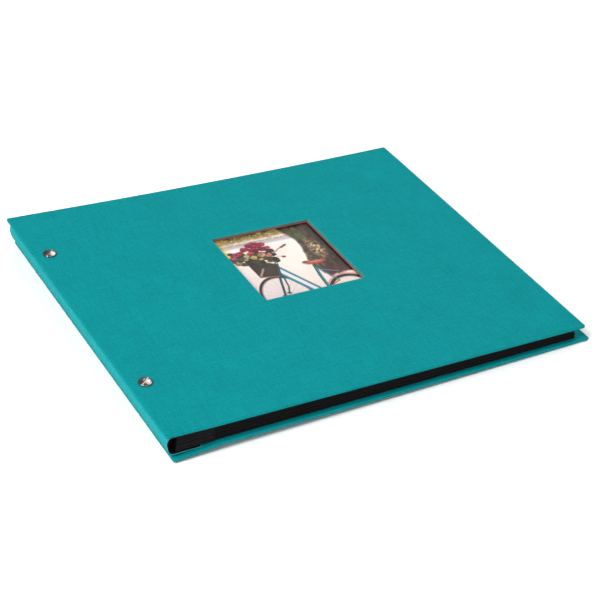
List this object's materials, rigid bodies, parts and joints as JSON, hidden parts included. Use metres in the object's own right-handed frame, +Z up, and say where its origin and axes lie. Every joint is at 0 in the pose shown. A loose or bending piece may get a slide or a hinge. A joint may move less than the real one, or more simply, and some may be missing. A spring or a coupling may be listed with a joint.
{
  "type": "scrapbook album",
  "caption": "Landscape screw-post scrapbook album: linen covers, picture window, U-shaped spine, black card leaves that fan open, and slotted post screws.",
  "frame": {"origin": "middle of the closed album's footprint, on the surface it lies on", "axes": "+X from the spine to the fore-edge, +Y along the spine to the head, +Z up through the front cover"},
  "size_m": [0.305, 0.2502, 0.0235],
  "materials": {
    "linen": "woven teal book linen",
    "spine_linen": "woven teal book linen",
    "black_lining": "matte black lining cloth",
    "greyboard": "raw grey-brown board",
    "endpaper": "matte black endpaper",
    "black_card": "matte black card",
    "picture_print": "satin printed card",
    "steel_post": "nickel-plated steel",
    "chrome_screw": "polished nickel plate"
  },
  "bodies": {
    "binding": {"front_strip_board": "greyboard", "front_strip_cloth": "linen", "front_strip_endpaper": "endpaper", "back_strip_board": "greyboard", "back_strip_cloth": "linen", "back_strip_endpaper": "endpaper", "spine_cloth": "spine_linen", "spine_lining": "black_lining", "page_stubs": "black_card", "post_front": "steel_post", "post_rear": "steel_post"},
    "front_cover": {"front_board": "greyboard", "front_cloth": "linen", "front_endpaper": "endpaper", "picture_pocket": "black_card"},
    "picture": {"picture_insert": "picture_print"},
    "back_cover": {"back_board": "greyboard", "back_cloth": "linen", "back_endpaper": "endpaper"},
    "front_screw": {"screw_front": "chrome_screw"},
    "rear_screw": {"screw_rear": "chrome_screw"},
    "page_01": {"leaf_01": "black_card"},
    "page_02": {"leaf_02": "black_card"},
    "page_03": {"leaf_03": "black_card"},
    "page_04": {"leaf_04": "black_card"},
    "page_05": {"leaf_05": "black_card"},
    "page_06": {"leaf_06": "black_card"},
    "page_07": {"leaf_07": "black_card"},
    "page_08": {"leaf_08": "black_card"},
    "page_09": {"leaf_09": "black_card"},
    "page_10": {"leaf_10": "black_card"},
    "page_11": {"leaf_11": "black_card"},
    "page_12": {"leaf_12": "black_card"},
    "page_13": {"leaf_13": "black_card"},
    "page_14": {"leaf_14": "black_card"},
    "page_15": {"leaf_15": "black_card"},
    "page_16": {"leaf_16": "black_card"},
    "page_17": {"leaf_17": "black_card"},
    "page_18": {"leaf_18": "black_card"},
    "page_19": {"leaf_19": "black_card"},
    "page_20": {"leaf_20": "black_card"}
  },
  "joints": [
    {"name": "front_cover_hinge", "type": "hinge", "parent": "binding", "child": "front_cover", "pos_m": [-0.11947, 0.0001, 0.0206], "axis": [0, -1, 0], "range_deg": [0, 165]},
    {"name": "back_cover_hinge", "type": "hinge", "parent": "binding", "child": "back_cover", "pos_m": [-0.11447, -0.0001, 0.0035], "axis": [0, 1, 0], "range_deg": [0, 165]},
    {"name": "picture_slide", "type": "slide", "parent": "front_cover", "child": "picture", "axis": [0.9996, 0, -0.0273], "range_m": [0, 0.09]},
    {"name": "front_screw_turn", "type": "hinge", "parent": "binding", "child": "front_screw", "pos_m": [-0.14217, -0.0743, 0.02187], "axis": [0, 0, 1], "continuous": true},
    {"name": "rear_screw_turn", "type": "hinge", "parent": "binding", "child": "rear_screw", "pos_m": [-0.14217, 0.0743, 0.02187], "axis": [0, 0, 1], "continuous": true},
    {"name": "page_01_turn", "type": "hinge", "parent": "binding", "child": "page_01", "pos_m": [-0.11947, 0.0001, 0.0206], "axis": [0, -1, 0], "range_deg": [0, 154.5]},
    {"name": "page_02_turn", "type": "hinge", "parent": "binding", "child": "page_02", "pos_m": [-0.11947, 0.0001, 0.0206], "axis": [0, -1, 0], "range_deg": [0, 146.8]},
    {"name": "page_03_turn", "type": "hinge", "parent": "binding", "child": "page_03", "pos_m": [-0.11947, 0.0001, 0.0206], "axis": [0, -1, 0], "range_deg": [0, 139.1]},
    {"name": "page_04_turn", "type": "hinge", "parent": "binding", "child": "page_04", "pos_m": [-0.11947, 0.0001, 0.0206], "axis": [0, -1, 0], "range_deg": [0, 131.4]},
    {"name": "page_05_turn", "type": "hinge", "parent": "binding", "child": "page_05", "pos_m": [-0.11947, 0.0001, 0.0206], "axis": [0, -1, 0], "range_deg": [0, 123.7]},
    {"name": "page_06_turn", "type": "hinge", "parent": "binding", "child": "page_06", "pos_m": [-0.11947, 0.0001, 0.0206], "axis": [0, -1, 0], "range_deg": [0, 116]},
    {"name": "page_07_turn", "type": "hinge", "parent": "binding", "child": "page_07", "pos_m": [-0.11947, 0.0001, 0.0206], "axis": [0, -1, 0], "range_deg": [0, 108.3]},
    {"name": "page_08_turn", "type": "hinge", "parent": "binding", "child": "page_08", "pos_m": [-0.11947, 0.0001, 0.0206], "axis": [0, -1, 0], "range_deg": [0, 100.6]},
    {"name": "page_09_turn", "type": "hinge", "parent": "binding", "child": "page_09", "pos_m": [-0.11947, 0.0001, 0.0206], "axis": [0, -1, 0], "range_deg": [0, 92.9]},
    {"name": "page_10_turn", "type": "hinge", "parent": "binding", "child": "page_10", "pos_m": [-0.11947, 0.0001, 0.0206], "axis": [0, -1, 0], "range_deg": [0, 85.2]},
    {"name": "page_11_turn", "type": "hinge", "parent": "binding", "child": "page_11", "pos_m": [-0.11947, 0.0001, 0.0206], "axis": [0, -1, 0], "range_deg": [0, 77.5]},
    {"name": "page_12_turn", "type": "hinge", "parent": "binding", "child": "page_12", "pos_m": [-0.11947, 0.0001, 0.0206], "axis": [0, -1, 0], "range_deg": [0, 69.8]},
    {"name": "page_13_turn", "type": "hinge", "parent": "binding", "child": "page_13", "pos_m": [-0.11947, 0.0001, 0.0206], "axis": [0, -1, 0], "range_deg": [0, 62.1]},
    {"name": "page_14_turn", "type": "hinge", "parent": "binding", "child": "page_14", "pos_m": [-0.11947, 0.0001, 0.0206], "axis": [0, -1, 0], "range_deg": [0, 54.4]},
    {"name": "page_15_turn", "type": "hinge", "parent": "binding", "child": "page_15", "pos_m": [-0.11947, 0.0001, 0.0206], "axis": [0, -1, 0], "range_deg": [0, 46.7]},
    {"name": "page_16_turn", "type": "hinge", "parent": "binding", "child": "page_16", "pos_m": [-0.11947, 0.0001, 0.0206], "axis": [0, -1, 0], "range_deg": [0, 39]},
    {"name": "page_17_turn", "type": "hinge", "parent": "binding", "child": "page_17", "pos_m": [-0.11947, 0.0001, 0.0206], "axis": [0, -1, 0], "range_deg": [0, 31.3]},
    {"name": "page_18_turn", "type": "hinge", "parent": "binding", "child": "page_18", "pos_m": [-0.11947, 0.0001, 0.0206], "axis": [0, -1, 0], "range_deg": [0, 23.6]},
    {"name": "page_19_turn", "type": "hinge", "parent": "binding", "child": "page_19", "pos_m": [-0.11947, 0.0001, 0.0206], "axis": [0, -1, 0], "range_deg": [0, 15.9]},
    {"name": "page_20_turn", "type": "hinge", "parent": "binding", "child": "page_20", "pos_m": [-0.11947, 0.0001, 0.0206], "axis": [0, -1, 0], "range_deg": [0, 8.2]}
  ],
  "couplings": [
    {"joint": "page_01_turn", "follows": "front_cover_hinge", "ratio": 0.93333},
    {"joint": "page_02_turn", "follows": "front_cover_hinge", "ratio": 0.88667},
    {"joint": "page_03_turn", "follows": "front_cover_hinge", "ratio": 0.84},
    {"joint": "page_04_turn", "follows": "front_cover_hinge", "ratio": 0.79333},
    {"joint": "page_05_turn", "follows": "front_cover_hinge", "ratio": 0.74667},
    {"joint": "page_06_turn", "follows": "front_cover_hinge", "ratio": 0.7},
    {"joint": "page_07_turn", "follows": "front_cover_hinge", "ratio": 0.65333},
    {"joint": "page_08_turn", "follows": "front_cover_hinge", "ratio": 0.60667},
    {"joint": "page_09_turn", "follows": "front_cover_hinge", "ratio": 0.56},
    {"joint": "page_10_turn", "follows": "front_cover_hinge", "ratio": 0.51333},
    {"joint": "page_11_turn", "follows": "front_cover_hinge", "ratio": 0.46667},
    {"joint": "page_12_turn", "follows": "front_cover_hinge", "ratio": 0.42},
    {"joint": "page_13_turn", "follows": "front_cover_hinge", "ratio": 0.37333},
    {"joint": "page_14_turn", "follows": "front_cover_hinge", "ratio": 0.32667},
    {"joint": "page_15_turn", "follows": "front_cover_hinge", "ratio": 0.28},
    {"joint": "page_16_turn", "follows": "front_cover_hinge", "ratio": 0.23333},
    {"joint": "page_17_turn", "follows": "front_cover_hinge", "ratio": 0.18667},
    {"joint": "page_18_turn", "follows": "front_cover_hinge", "ratio": 0.14},
    {"joint": "page_19_turn", "follows": "front_cover_hinge", "ratio": 0.09333},
    {"joint": "page_20_turn", "follows": "front_cover_hinge", "ratio": 0.04667}
  ]
}
